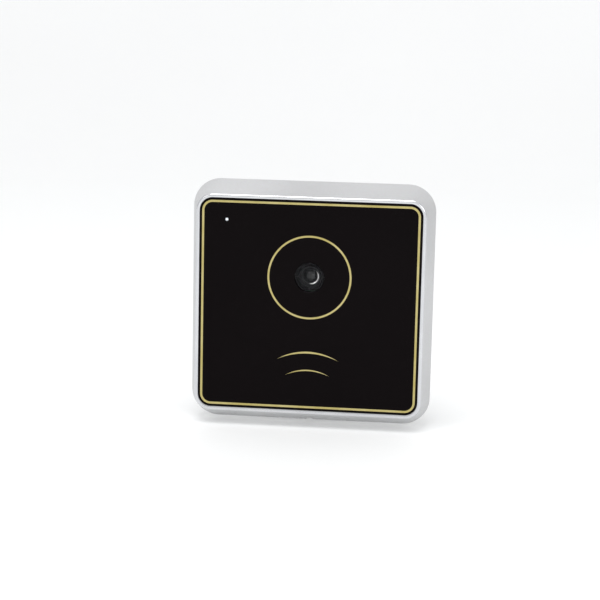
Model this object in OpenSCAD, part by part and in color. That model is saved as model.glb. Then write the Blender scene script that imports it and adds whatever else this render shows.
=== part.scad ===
// Square door intercom panel on a hooked wall bracket.
// The front faces -Y, the wall is the plane y = 0, and +Z is up.

/* [Housing frame] */
// Widest width of the frame, near the wall
frame_w = 86; // [82:1:104]
// Tallest height of the frame, near the wall
frame_h = 86; // [84:1:104]
// Depth of the frame from its lip to its back edge
frame_d = 12; // [12:0.5:16]
// How far each side wall leans out between the lip and the wall
side_flare = 2.7; // [1:0.1:4]
// How far the top and bottom walls lean out between the lip and the wall
end_flare = 4.4; // [1:0.1:6]
// Width of the bright lip round the front panel
lip_w = 1.2; // [0.8:0.1:2]
// Corner radius of the frame where it is widest
frame_back_r = 9.8; // [7:0.1:14]
// Edge rounding at the back of the frame
back_round = 1; // [0.5:0.1:1.5]

/* [Front panel] */
// Thickness of the black front plate
panel_t = 2; // [1.5:0.1:3]
// Corner radius of the recess that holds the plate
recess_r = 4.6; // [3:0.1:7]
// Gap between the plate and the frame
panel_gap = 0.15; // [0.1:0.05:0.3]
// How far the plate sits below the lip
panel_sink = 0.2; // [0:0.05:0.5]
// Thickness of the adhesive tapes behind the plate
tape_t = 0.3; // [0.2:0.05:0.5]

/* [Gold inlays] */
// Width of the border line
border_line = 0.8; // [0.5:0.05:1.2]
// Distance from the recess edge to the middle of the border line
border_inset = 1.3; // [1:0.1:3]
// Radius of the ring round the camera, at the middle of its line
ring_r = 14.45; // [11:0.05:18]
// Width of the ring line
ring_line = 0.72; // [0.4:0.02:1.2]
// Depth of the foil inlays
inlay_t = 0.3; // [0.1:0.05:0.5]
// Radii of the two card mark arcs
arc_r = [23, 16.6];
// Height of the common centre of the arcs
arc_centre_z = -39.4; // [-44:0.1:-35]
// Half of the angle that each arc spans
arc_half_angle = 28.2; // [15:0.1:40]
// Thickest width of an arc
arc_line = 0.62; // [0.3:0.02:1]

/* [Camera and light] */
// Height of the camera axis above the middle of the panel
camera_z = 10.3; // [8:0.1:14]
// Diameter of the clear window
window_d = 10.4; // [8:0.1:13]
// Diameter of the lens barrel
barrel_d = 8; // [6:0.1:9]
// Diameter of the front glass of the lens
glass_d = 5.3; // [4:0.1:6]
// Place of the status light, across and up
light_pos = [-29.4, 29.8];
// Diameter of the visible end of the light pipe
light_d = 1.2; // [0.8:0.1:2]

/* [Rear housing] */
// Width of the box that goes into the wall
box_w = 48; // [47:0.5:50]
// Height of the box that goes into the wall
box_h = 54; // [52:0.5:56]
// Depth of the box behind the wall face
box_d = 20; // [18:0.5:26]
// Wall thickness of the box and its flange
box_wall = 1.6; // [1.2:0.1:2]
// Depth from the lip to the flange
flange_depth = 6.9; // [6.9:0.1:8]

/* [Wall bracket] */
// Distance between the two wall screws
screw_pitch = 60.3; // [60:0.1:61]
// Width of each screw slot
screw_slot_w = 4.2; // [3.5:0.1:4.5]
// End to end length of each screw slot
screw_slot_l = 7; // [5:0.5:8]
// Thickness of the steel plate
plate_t = 1.2; // [1:0.1:1.5]
// Height of the lips of the top hooks
hook_lip = 2.4; // [2:0.1:3]
// How far the unit lifts to clear the hooks
lift = 2.7; // [2.6:0.1:3.2]
// Thickness of the foam gasket against the wall
gasket_t = 1; // [0.8:0.1:1.5]

/* [Electronics] */
// Side of the square camera board
camera_board_w = 20; // [19:0.5:22]
// Diameter of the loudspeaker
speaker_d = 20; // [16:0.5:21]
// Height of the loudspeaker axis
speaker_z = -14; // [-15:0.5:-13]
// Thickness of the main board
board_t = 1.6; // [1:0.1:2]
// Distance between terminals
terminal_pitch = 3.8; // [3.5:0.1:4]
// Travel of a terminal lever
lever_travel = 0.9; // [0.5:0.1:1]
// Travel of the programming button
button_travel = 0.4; // [0.2:0.1:0.5]
// Travel of the tamper plunger
tamper_travel = 1; // [0.6:0.1:1]

/* [Hidden] */
$fn = 48;
tiny = 0.01;
run_gap = 0.1;

// Depths along Y, from the wall face at 0 to the lip in front
frame_back_y = -gasket_t;
lip_y = frame_back_y - frame_d;
panel_front_y = lip_y + panel_sink;
panel_back_y = panel_front_y + panel_t;
seat_y = panel_back_y + tape_t;
flange_y = lip_y + flange_depth;
flange_back_y = flange_y + box_wall;
plate_front_y = -plate_t;
widest_y = frame_back_y - back_round;

// Outlines, as full widths and heights
recess_w = frame_w - 2 * (side_flare + lip_w);
recess_h = frame_h - 2 * (end_flare + lip_w);
lip_r = recess_r + lip_w;
seat_w = 6.1;
seat_h = 5.4;
chamber_w = recess_w - 2 * seat_w;
chamber_h = recess_h - 2 * seat_h;
chamber_r = 4;
back_wall = 3.7;
back_pocket_w = frame_w - 2 * back_wall;
back_pocket_h = frame_h - 2 * back_wall - 0.2;
back_pocket_r = frame_back_r - back_wall;
lip_round = 0.35;

// Seal, coring and case screws
seal_w = 1.6;
seal_t = 0.8;
seal_out = 1.1;
coring_depth = 2.9;
coring_wall = 2.4;
seal_land = 1.2;
case_screw_x = chamber_w / 2 + 2.4;
case_screw_z = chamber_h / 2 + 3;
case_screw_d = 2.6;
case_boss_d = 7;
case_screw_l = 5.4;
case_head_d = 4.4;
case_head_t = 1.6;

// Wall bracket, hooks and lock screw
plate_w = back_pocket_w - 4.8;
plate_h = back_pocket_h - 2 * (lift + 0.5);
plate_r = 4;
hook_x = 20;
hook_w = 10;
hook_gap = 0.3;
hook_y = flange_back_y + hook_gap;
hook_top = plate_h / 2;
catch_w = hook_w + 5;
catch_t = plate_front_y - hook_y - plate_t - 2 * hook_gap;
lock_screw_d = 3;
lock_screw_l = 6;
lock_screw_y = plate_front_y - 1.6;
tab_w = 12;
window_gap = 0.8;

// Sensing board behind the panel
sensor_gap = 0.6;
sensor_t = 1;
sensor_back_y = seat_y + sensor_t;
camera_hole_d = barrel_d + 4.8;
coil_z = arc_centre_z + 19.8;
coil_t = 0.15;
coil_w = 34;
coil_h = 19;
coil_pitch = 1.3;
coil_line = 0.6;
coil_turns = 4;
ribbon_x = 0;
ribbon_z = 23;
ribbon_w = 7;
ribbon_t = 0.3;
ribbon_bite = 0.9;
connector_l = 1.6;

// Main board and camera stack
box_in_w = box_w - 2 * box_wall;
box_in_h = box_h - 2 * box_wall;
board_gap = 0.6;
post_l = 8.8;
main_back_y = box_d - box_wall - post_l;
main_front_y = main_back_y - board_t;
main_w = box_in_w - 2 * board_gap;
main_h = box_in_h - 2 * board_gap;
post_x = main_w / 2 - 3;
post_z = main_h / 2 - 3;
post_d = 4.6;
small_screw_d = 1.6;
small_head_d = 3;
small_head_t = 1.1;
standoff_l = 5.5;
camera_t = 1;
camera_back_y = main_front_y - standoff_l;
camera_front_y = camera_back_y - camera_t;
standoff_x = camera_board_w / 2 - 1.8;
standoff_z = camera_board_w / 2 - 2;
standoff_d = 3.4;
holder_w = 12.6;
holder_t = 2.5;
holder_wall = 1.2;
holder_y = camera_front_y - holder_t;
boss_d = barrel_d + 2.8;
boss_l = 5;
barrel_front_y = panel_back_y + 0.5;
barrel_back_y = holder_y - 1.5;
thread_gap = 0.05;

// Loudspeaker and microphone
speaker_front_y = flange_y + 0.3;
basket_l = 2.6;
cradle_wall = 1.2;
cradle_l = 4.9;
cradle_lip = 1.4;
magnet_d = 12;
magnet_l = 2.8;
duct_h = 0.9;
duct_w = 8;
duct_step = 11;
duct_y = (sensor_back_y + flange_y) / 2;
mesh_t = 0.3;
mic_x = -26;
mic_d = 2.6;
mic_l = 1.8;
mic_hole_d = 1.2;
boot_w = 6.4;
boot_h = 4.4;

// Terminals and programming button
terminals = 4;
terminal_x = -6;
terminal_z = -13;
terminal_w = terminals * terminal_pitch + 1.6;
terminal_h = 9.6;
terminal_end_y = box_d - 0.6;
terminal_core_y = main_back_y + 3.8;
port_d = 2.2;
port_z = terminal_z - 2.3;
lever_z = terminal_z + 1.9;
lever_w = 2.3;
lever_h = 3.1;
lever_gap = 0.15;
lever_front_y = terminal_end_y - 3.4;
lever_back_y = box_d + 0.6;
button_x = 14;
button_z = terminal_z;
button_d = 3.4;
switch_w = 6;
switch_t = 3.4;
button_front_y = main_back_y + switch_t + button_travel + 0.1;

// Tamper switch
tamper_pos = [28.4, -22];
tamper_w = 7;
tamper_wall = 0.4;
tamper_front_y = sensor_back_y + 0.2;
plunger_d = 3;
plunger_head_d = 4.6;
plunger_head_t = 0.7;
spring_wire = 0.3;
spring_turns = 3;
spring_d = 3.9;

// Outline with rounded corners, centred
module rounded(w, h, r) {
    square([w - 2 * r, h], center = true);
    square([w, h - 2 * r], center = true);
    for (x = [-1, 1], z = [-1, 1]) {
        translate([x * (w / 2 - r), z * (h / 2 - r)]) circle(r = r);
    }
}

// Turns a flat outline in X and Z into a solid from y0 to y1
module along_y(y0, y1) {
    translate([0, y1, 0]) rotate([90, 0, 0]) linear_extrude(y1 - y0) children();
}

module slab(w, h, r, y0, y1) {
    along_y(y0, y1) rounded(w, h, r);
}

// Plain block centred on (x, z)
module block(w, h, y0, y1, x = 0, z = 0) {
    translate([x - w / 2, y0, z - h / 2]) cube([w, y1 - y0, h]);
}

// Round bar along Y, centred on (x, z)
module rod(d, y0, y1, x = 0, z = 0) {
    translate([x, y1, z]) rotate([90, 0, 0]) cylinder(d = d, h = y1 - y0);
}

module ring_frame(w, h, r, band, y0, y1) {
    along_y(y0, y1) difference() {
        rounded(w, h, r);
        rounded(w - 2 * band, h - 2 * band, max(r - band, 0.2));
    }
}

// Repeats its children at the four corners (x, z)
module corners(x, z) {
    for (sx = [-1, 1], sz = [-1, 1]) {
        translate([sx * x, 0, sz * z]) children();
    }
}

// Thin slice of the flared outer body, grow = 0 at the lip and 1 at the widest place
module body_slice(y, grow, inset) {
    w = recess_w + 2 * (lip_w + grow * side_flare - inset);
    h = recess_h + 2 * (lip_w + grow * end_flare - inset);
    r = lip_r + grow * (frame_back_r - lip_r) - inset;
    slab(w, h, r, y, y + tiny);
}

module body_solid() {
    hull() {
        body_slice(lip_y, 0, lip_round);
        body_slice(lip_y + 0.3 * lip_round, 0, 0.3 * lip_round);
        body_slice(lip_y + lip_round, 0, 0);
        body_slice(widest_y, 1, 0);
        body_slice(widest_y + 0.6 * back_round, 1, 0.2 * back_round);
        body_slice(frame_back_y - tiny, 1, back_round);
    }
}

module front_frame() {
    color("silver") {
        difference() {
            body_solid();
            slab(recess_w, recess_h, recess_r, lip_y - 1, seat_y);
            slab(chamber_w, chamber_h, chamber_r, lip_y, flange_y + 1);
            slab(back_pocket_w, back_pocket_h, back_pocket_r, flange_y, 1);
            seal_cut();
            coring_cut();
            corners(case_screw_x, case_screw_z) {
                rod(case_screw_d, flange_y - case_screw_l + box_wall - 0.4, flange_y + 1);
            }
            for (i = [-1 : 1]) {
                translate([i * duct_step - duct_w / 2, duct_y - duct_h / 2, -frame_h])
                    cube([duct_w, duct_h, frame_h - chamber_h / 2 + tiny]);
            }
            translate([mic_x, duct_y, -frame_h]) {
                cylinder(d = mic_hole_d, h = frame_h - chamber_h / 2 + tiny);
            }
            translate([0, lock_screw_y, -frame_h]) {
                cylinder(d = lock_screw_d + 2 * run_gap, h = frame_h - back_pocket_h / 2 + tiny);
            }
        }
        hook_catches();
    }
}

// Groove for the seal in the face that the flange closes
module seal_cut() {
    ring_frame(chamber_w + 2 * (seal_out + seal_w + run_gap), chamber_h + 2 * (seal_out + seal_w + run_gap),
        chamber_r + seal_out + seal_w, seal_w + 2 * run_gap, flange_y - seal_t, flange_y + 1);
}

// Hollow behind the front rim, which leaves bosses for the case screws
module coring_cut() {
    land_w = chamber_w + 2 * (seal_out + seal_w + seal_land);
    land_h = chamber_h + 2 * (seal_out + seal_w + seal_land);
    difference() {
        slab(back_pocket_w - coring_wall, back_pocket_h - 2 * coring_wall, back_pocket_r,
            flange_y - coring_depth, flange_y + 1);
        slab(land_w, land_h, chamber_r + seal_out + seal_w + seal_land, flange_y - 5, flange_y + 2);
        corners(case_screw_x, case_screw_z) rod(case_boss_d, flange_y - 5, flange_y + 2);
    }
}

// Bars under the top wall that hang on the bracket hooks
module hook_catches() {
    y0 = plate_front_y - hook_gap - catch_t;
    for (s = [-1, 1]) {
        translate([s * hook_x - catch_w / 2, y0, hook_top + run_gap])
            cube([catch_w, catch_t, back_pocket_h / 2 - hook_top + 1]);
    }
}

module border_outline(band) {
    inset = border_inset - band / 2;
    r = recess_r - inset;
    difference() {
        rounded(recess_w - 2 * inset, recess_h - 2 * inset, r);
        rounded(recess_w - 2 * (inset + band), recess_h - 2 * (inset + band), r - band);
    }
}

module ring_outline(band) {
    translate([0, camera_z]) difference() {
        circle(r = ring_r + band / 2, $fn = 96);
        circle(r = ring_r - band / 2, $fn = 96);
    }
}

// Crescent between two circles that meet just past the ends of the arc, with its tips cut blunt
module arc_outline(r, band) {
    half = r * sin(arc_half_angle);
    rise = r * (1 - cos(arc_half_angle));
    outer_rise = rise + band / 2;
    inner_rise = rise - band / 2;
    outer_r = (half * half + outer_rise * outer_rise) / (2 * outer_rise);
    inner_r = (half * half + inner_rise * inner_rise) / (2 * inner_rise);
    top = arc_centre_z + r;
    tip_cut = 0.12;
    difference() {
        translate([0, top + band / 2 - outer_r]) circle(r = outer_r, $fn = 96);
        translate([0, top - band / 2 - inner_r]) circle(r = inner_r, $fn = 96);
        translate([-frame_w, top - rise + tip_cut - 2 * frame_h]) square([2 * frame_w, 2 * frame_h]);
    }
}

module inlay_outlines() {
    border_outline(border_line);
    ring_outline(ring_line);
    for (r = arc_r) arc_outline(r, arc_line);
}

module front_panel() {
    color("black") difference() {
        slab(recess_w - 2 * panel_gap, recess_h - 2 * panel_gap, recess_r - panel_gap,
            panel_front_y, panel_back_y);
        along_y(panel_front_y - 1, panel_front_y + inlay_t) inlay_outlines();
        rod(window_d, lip_y, seat_y, 0, camera_z);
        rod(light_d, lip_y, seat_y, light_pos[0], light_pos[1]);
    }
}

module panel_adhesive() {
    color("dimgray") along_y(panel_back_y, seat_y) difference() {
        rounded(recess_w - 1, recess_h - 1, recess_r - 0.5);
        rounded(chamber_w, chamber_h, chamber_r);
    }
}

module gold_border() {
    color("gold") along_y(panel_front_y, panel_front_y + inlay_t) border_outline(border_line);
}

module gold_ring() {
    color("gold") along_y(panel_front_y, panel_front_y + inlay_t) ring_outline(ring_line);
}

module gold_arcs() {
    color("gold") along_y(panel_front_y, panel_front_y + inlay_t) {
        for (r = arc_r) arc_outline(r, arc_line);
    }
}

module camera_window() {
    color("lightcyan", 0.4) rod(window_d, panel_front_y, panel_back_y, 0, camera_z);
}

// Clear pin with a shoulder behind the panel
module light_pipe() {
    color("white", 0.6) {
        rod(light_d, panel_front_y, panel_back_y, light_pos[0], light_pos[1]);
        rod(light_d + 0.6, panel_back_y, sensor_back_y - 0.4, light_pos[0], light_pos[1]);
    }
}

// Holes that the sensing board and its tape share
module sensor_outline() {
    difference() {
        rounded(chamber_w - 2 * sensor_gap, chamber_h - 2 * sensor_gap, chamber_r - sensor_gap);
        translate([0, camera_z]) circle(d = camera_hole_d);
        translate(light_pos) circle(d = light_d + 1);
    }
}

module sensor_adhesive() {
    color("gainsboro") along_y(panel_back_y, seat_y) sensor_outline();
}

module sensor_board() {
    color("darkgreen") along_y(seat_y, sensor_back_y) sensor_outline();
}

// Rectangular spiral of copper round the card mark, drawn leg by leg
module antenna_coil() {
    color("chocolate") along_y(sensor_back_y, sensor_back_y + coil_t) {
        for (i = [0 : coil_turns - 1]) {
            x = coil_w / 2 - i * coil_pitch;
            z = coil_h / 2 - i * coil_pitch;
            translate([-x, coil_z + z - coil_line]) square([2 * x, coil_line]);
            translate([x - coil_line, coil_z - z]) square([coil_line, 2 * z]);
            translate([-x, coil_z - z]) square([2 * x, coil_line]);
            translate([-x, coil_z - z]) square([coil_line, 2 * z - coil_pitch]);
            translate([-x, coil_z + z - coil_pitch - coil_line]) square([coil_pitch + coil_line, coil_line]);
        }
    }
}

module ferrite_sheet() {
    y0 = sensor_back_y + coil_t;
    color("dimgray") block(coil_w + 2, coil_h + 2, y0, y0 + 0.3, 0, coil_z);
}

module touch_chip() {
    color("dimgray") block(5, 5, sensor_back_y, sensor_back_y + 0.9, -17, camera_z + 4);
}

module status_led() {
    color("white") block(3, 1.6, sensor_back_y, sensor_back_y + 1, light_pos[0], light_pos[1]);
}

module panel_ribbon() {
    color("ivory") block(ribbon_w, ribbon_t, sensor_back_y + connector_l - ribbon_bite,
        main_front_y - connector_l + ribbon_bite, ribbon_x, ribbon_z);
}

module ribbon_connectors() {
    color("wheat") difference() {
        union() {
            block(ribbon_w + 2.4, 2.8, sensor_back_y, sensor_back_y + connector_l, ribbon_x, ribbon_z);
            block(ribbon_w + 2.4, 2.8, main_front_y - connector_l, main_front_y, ribbon_x, ribbon_z);
        }
        block(ribbon_w + 0.2, ribbon_t + 0.2, sensor_back_y + connector_l - ribbon_bite - 0.1,
            main_front_y - connector_l + ribbon_bite + 0.1, ribbon_x, ribbon_z);
    }
}

// Domed front glass of the lens
module lens_front_glass() {
    dome_r = 4;
    color("lightcyan", 0.5) intersection() {
        translate([0, barrel_front_y + 0.4 + dome_r, camera_z]) sphere(r = dome_r, $fn = 64);
        rod(glass_d, barrel_front_y, barrel_front_y + 2.4, 0, camera_z);
    }
}

// Threaded barrel with a stepped, coned mouth
module lens_barrel() {
    color("black") difference() {
        rod(barrel_d, barrel_front_y, barrel_back_y, 0, camera_z);
        rod(glass_d, barrel_front_y + 0.4, barrel_front_y + 2.4, 0, camera_z);
        translate([0, barrel_front_y + 0.9, camera_z]) rotate([90, 0, 0])
            cylinder(d1 = glass_d, d2 = barrel_d - 0.7, h = 0.9 + tiny);
        rod(glass_d - 2, barrel_front_y + 2, barrel_back_y - 1.2, 0, camera_z);
        rod(glass_d, barrel_back_y - 1.4, barrel_back_y + 1, 0, camera_z);
    }
}

module lens_rear_glass() {
    color("lightcyan", 0.5) rod(glass_d, barrel_back_y - 1.4, barrel_back_y - 0.2, 0, camera_z);
}

module lens_lock_ring() {
    ring_end = holder_y - boss_l - run_gap;
    color("dimgray") difference() {
        rod(boss_d, ring_end - 1.4, ring_end, 0, camera_z);
        rod(barrel_d + 2 * thread_gap, ring_end - 2, ring_end + 1, 0, camera_z);
        for (a = [0 : 90 : 270]) {
            translate([0, ring_end - 1, camera_z]) rotate([0, a, 0])
                translate([boss_d / 2 - 0.5, 0, 0]) cube([1.2, 1.2, 1.4], center = true);
        }
    }
}

module lens_holder() {
    color("black") difference() {
        union() {
            block(holder_w, holder_w, holder_y, camera_front_y, 0, camera_z);
            rod(boss_d, holder_y - boss_l, holder_y + 0.2, 0, camera_z);
        }
        rod(barrel_d + 2 * thread_gap, holder_y - boss_l - 1, barrel_back_y + 0.2, 0, camera_z);
        rod(glass_d, barrel_back_y, camera_front_y, 0, camera_z);
        block(holder_w - 2 * holder_wall, holder_w - 2 * holder_wall, holder_y + 0.6, camera_front_y + 1,
            0, camera_z);
    }
}

module infrared_filter() {
    color("paleturquoise", 0.6) block(7, 7, holder_y + 0.6, holder_y + 1, 0, camera_z);
}

module image_sensor() {
    color("darkslategray") block(8, 8, camera_front_y - 1, camera_front_y, 0, camera_z);
}

module camera_board() {
    color("darkgreen") difference() {
        block(camera_board_w, camera_board_w, camera_front_y, camera_back_y, 0, camera_z);
        standoff_places() rod(small_screw_d + 0.2, camera_front_y - 1, camera_back_y + 1);
    }
}

// Two opposite corners of the camera board
module standoff_places() {
    for (s = [-1, 1]) {
        translate([s * standoff_x, 0, camera_z - s * standoff_z]) children();
    }
}

module pan_screw(d, head_d, head_t, head_y, tip_y) {
    rod(head_d, head_y - head_t, head_y);
    rod(d, head_y - tiny, tip_y);
}

module camera_screws() {
    color("silver") standoff_places() difference() {
        pan_screw(small_screw_d, small_head_d, small_head_t, camera_front_y, camera_back_y + 3);
        cross_cut(small_head_d, camera_front_y - small_head_t);
    }
}

// Cross recess in a screw head whose face looks to -Y at the depth face_y
module cross_cut(head_d, face_y) {
    for (a = [0, 90]) {
        translate([0, face_y, 0]) rotate([0, a, 0]) cube([head_d * 0.6, 0.9, head_d * 0.14], center = true);
    }
}

module camera_standoffs() {
    color("goldenrod") standoff_places() difference() {
        rod(standoff_d, camera_back_y, main_front_y);
        rod(small_screw_d, camera_back_y - 1, camera_back_y + 3.4);
    }
}

module camera_header() {
    color("dimgray") block(9, 3, camera_back_y, main_front_y, 0, camera_z);
}

module speaker_basket() {
    back_y = speaker_front_y + basket_l;
    color("dimgray") difference() {
        rod(speaker_d, speaker_front_y, back_y, 0, speaker_z);
        rod(speaker_d - 1.6, speaker_front_y - 1, back_y - 0.6, 0, speaker_z);
        rod(magnet_d - 2, speaker_front_y, back_y + 1, 0, speaker_z);
    }
}

// Thin cone with a centre dome and a rim that rests in the basket
module speaker_diaphragm() {
    rim_r = speaker_d / 2 - 0.9;
    coil_r = 4;
    color("darkgray") translate([0, speaker_front_y + 0.2, speaker_z]) rotate([-90, 0, 0]) {
        rotate_extrude($fn = 64) polygon([
            [0, 0.1], [2, 0.25], [coil_r, 0.8], [rim_r - 1.4, 0.1], [rim_r, 0.1],
            [rim_r, 0.3], [rim_r - 1.3, 0.3], [coil_r + 0.1, 1.8], [coil_r - 0.3, 1.8],
            [coil_r - 0.3, 1], [2, 0.45], [0, 0.3]
        ]);
    }
}

module speaker_magnet() {
    back_y = speaker_front_y + basket_l;
    color("silver") rod(magnet_d, back_y, back_y + magnet_l, 0, speaker_z);
}

module speaker_gasket() {
    back_y = speaker_front_y + basket_l;
    color("dimgray") difference() {
        rod(speaker_d, back_y, back_y + 0.4, 0, speaker_z);
        rod(speaker_d - 2 * cradle_lip, back_y - 1, back_y + 1, 0, speaker_z);
    }
}

module speaker_mesh() {
    z0 = -chamber_h / 2;
    color("black") translate([-duct_step - duct_w / 2 - 1, sensor_back_y + run_gap, z0])
        cube([2 * duct_step + duct_w + 2, flange_y - sensor_back_y - 2 * run_gap, mesh_t]);
}

// Rubber block that seals the microphone over its hole
module microphone_boot() {
    z0 = -chamber_h / 2;
    color("dimgray") difference() {
        translate([mic_x - boot_w / 2, sensor_back_y + run_gap, z0])
            cube([boot_w, flange_y - sensor_back_y - 2 * run_gap, boot_h]);
        translate([mic_x, duct_y, z0 - 1]) cylinder(d = mic_hole_d, h = 3);
        translate([mic_x, duct_y, z0 + 1.2]) cylinder(d = mic_d, h = boot_h);
    }
}

module microphone() {
    color("silver") translate([mic_x, duct_y, -chamber_h / 2 + 1.2]) cylinder(d = mic_d, h = mic_l);
}

module main_board() {
    color("darkgreen") difference() {
        block(main_w, main_h, main_front_y, main_back_y);
        corners(post_x, post_z) rod(small_screw_d + 0.4, main_front_y - 1, main_back_y + 1);
    }
}

module board_screws() {
    color("silver") corners(post_x, post_z) difference() {
        pan_screw(small_screw_d, small_head_d, small_head_t, main_front_y, main_back_y + 4);
        cross_cut(small_head_d, main_front_y - small_head_t);
    }
}

module processor_chip() {
    color("dimgray") block(8, 8, main_front_y - 1, main_front_y, -15, 0);
}

module shield_can() {
    color("silver") difference() {
        block(15, 11, main_front_y - 2.2, main_front_y, 10, speaker_z);
        block(14.4, 10.4, main_front_y - 1.9, main_front_y + 1, 10, speaker_z);
    }
}

module power_coil() {
    color("dimgray") block(6, 6, main_front_y - 3, main_front_y, -15, speaker_z);
}

module capacitors() {
    color("silver") for (x = [-7, 7]) {
        rod(6.3, main_back_y, main_back_y + 5.8, x, 15);
    }
}

// Middle of terminal number i, counted from 0
function terminal_at(i) = terminal_x + (i - (terminals - 1) / 2) * terminal_pitch;

module terminal_block() {
    color("forestgreen") difference() {
        block(terminal_w, terminal_h, main_back_y, terminal_end_y, terminal_x, terminal_z);
        for (i = [0 : terminals - 1]) {
            x = terminal_at(i);
            rod(port_d, terminal_core_y - 1, terminal_end_y + 1, x, port_z);
            block(terminal_pitch - 1, 7.4, main_back_y - 1, terminal_core_y, x, terminal_z);
            block(lever_w + 2 * lever_gap, lever_h + 2 * lever_gap, lever_front_y - lever_travel - 0.2,
                terminal_end_y + 1, x, lever_z);
        }
    }
}

// Bent spring strips that grip the wires inside the block
module terminal_contacts() {
    strip_w = terminal_pitch - 1.4;
    strip_t = 0.4;
    color("goldenrod") for (i = [0 : terminals - 1]) {
        x = terminal_at(i);
        block(strip_w, 7, main_back_y, main_back_y + strip_t, x, terminal_z);
        block(strip_w, strip_t, main_back_y, terminal_core_y - 0.4, x, terminal_z - 3.3);
        block(strip_w, strip_t, main_back_y, terminal_core_y - 0.4, x, terminal_z + 3.3);
    }
}

module terminal_lever(i) {
    color("orangered") block(lever_w, lever_h, lever_front_y, lever_back_y, terminal_at(i), lever_z);
}

module terminal_lever_1() {
    terminal_lever(0);
}

module terminal_lever_2() {
    terminal_lever(1);
}

module terminal_lever_3() {
    terminal_lever(2);
}

module terminal_lever_4() {
    terminal_lever(3);
}

module program_switch() {
    color("dimgray") block(switch_w, switch_w, main_back_y, main_back_y + switch_t, button_x, button_z);
}

// Stem with a collar that the tube of the rear housing holds back
module program_button() {
    color("ivory") {
        rod(button_d, button_front_y, box_d - 0.3, button_x, button_z);
        rod(button_d + 1.8, button_front_y + 0.4, button_front_y + 1.4, button_x, button_z);
    }
}

module tamper_switch() {
    color("black") difference() {
        block(tamper_w, tamper_w, tamper_front_y, flange_y, tamper_pos[0], tamper_pos[1]);
        rod(plunger_head_d + 0.4, tamper_front_y + tamper_wall, flange_y + 1, tamper_pos[0], tamper_pos[1]);
    }
}

// Points of one ring of the coil spring, at turn t along its wire
function spring_ring(t, length) = [
    for (k = [0 : 7])
        let (a = 360 * t, b = 45 * k, r = (spring_d + spring_wire * cos(b)) / 2)
        [r * cos(a), t / spring_turns * length + spring_wire / 2 * sin(b), r * sin(a)]
];

module tamper_spring() {
    steps = 20 * spring_turns;
    start_y = tamper_front_y + tamper_wall + spring_wire / 2 + tiny;
    length = flange_y - plunger_head_t - spring_wire / 2 - tiny - start_y;
    rings = [for (i = [0 : steps]) each spring_ring(i / 20, length)];
    sides = [
        for (i = [0 : steps - 1], k = [0 : 7])
            [8 * i + k, 8 * i + (k + 1) % 8, 8 * i + 8 + (k + 1) % 8, 8 * i + 8 + k]
    ];
    ends = [[for (k = [7 : -1 : 0]) k], [for (k = [0 : 7]) 8 * steps + k]];
    color("silver") translate([tamper_pos[0], start_y, tamper_pos[1]])
        polyhedron(points = rings, faces = concat(sides, ends));
}

// Plunger that reaches the wall through the flange and the bracket
module tamper_plunger() {
    color("ivory") {
        rod(plunger_d, flange_y - 0.2, tamper_travel, tamper_pos[0], tamper_pos[1]);
        rod(plunger_head_d, flange_y - plunger_head_t, flange_y, tamper_pos[0], tamper_pos[1]);
    }
}

module rear_housing() {
    color([0.12, 0.12, 0.13]) difference() {
        union() {
            slab(back_pocket_w - 0.6, back_pocket_h - 0.6, back_pocket_r - 0.3, flange_y, flange_back_y);
            slab(box_w, box_h, 3, flange_y, box_d);
        }
        difference() {
            slab(box_in_w, box_in_h, 1.4, flange_y - 1, box_d - box_wall);
            housing_details();
        }
        for (s = [-1, 1]) {
            block(catch_w + 1, 10, flange_y - 1, flange_back_y + 1, s * hook_x, hook_top - 0.5 + 5);
        }
        block(lock_screw_d + 1, 10, flange_y - 1, flange_back_y + 1, 0, -plate_h / 2 + 0.4 - 5);
        corners(case_screw_x, case_screw_z) rod(case_screw_d + 0.4, flange_y - 1, flange_back_y + 1);
        rod(plunger_d + 2 * run_gap, flange_y - 1, flange_back_y + 1, tamper_pos[0], tamper_pos[1]);
        block(terminal_w + 0.6, terminal_h + 0.6, box_d - 3, box_d + 1, terminal_x, terminal_z);
        rod(button_d + 2 * run_gap, button_front_y, box_d + 1, button_x, button_z);
    }
}

// Board posts, speaker cradle and button tube inside the box
module housing_details() {
    corners(post_x, post_z) difference() {
        rod(post_d, main_back_y, box_d);
        rod(small_screw_d, main_back_y - 1, main_back_y + 4.4);
    }
    difference() {
        union() {
            rod(speaker_d + 2 * (cradle_wall + run_gap), flange_y, flange_y + cradle_l, 0, speaker_z);
            block(box_in_w + 1, cradle_wall, flange_y, flange_y + cradle_l, 0, speaker_z);
        }
        rod(speaker_d + 2 * run_gap, flange_y - 1, speaker_front_y + basket_l + 0.4, 0, speaker_z);
        rod(speaker_d - 2 * cradle_lip, flange_y - 1, flange_y + cradle_l + 1, 0, speaker_z);
    }
    rod(button_d + 4, button_front_y + 1.5, box_d, button_x, button_z);
}

module housing_seal() {
    color("dimgray") ring_frame(chamber_w + 2 * (seal_out + seal_w), chamber_h + 2 * (seal_out + seal_w),
        chamber_r + seal_out + seal_w - run_gap, seal_w, flange_y - seal_t, flange_y);
}

module case_screws() {
    color("silver") corners(case_screw_x, case_screw_z) difference() {
        union() {
            rod(case_head_d, flange_back_y, flange_back_y + case_head_t);
            rod(case_screw_d, flange_back_y - case_screw_l, flange_back_y + tiny);
        }
        cross_cut(case_head_d, flange_back_y + case_head_t);
    }
}

module wall_gasket() {
    edge = back_round + 0.2;
    band = 2;
    color("dimgray") ring_frame(frame_w - 2 * edge, frame_h - 2 * edge, frame_back_r - edge, band,
        frame_back_y, 0);
}

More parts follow.
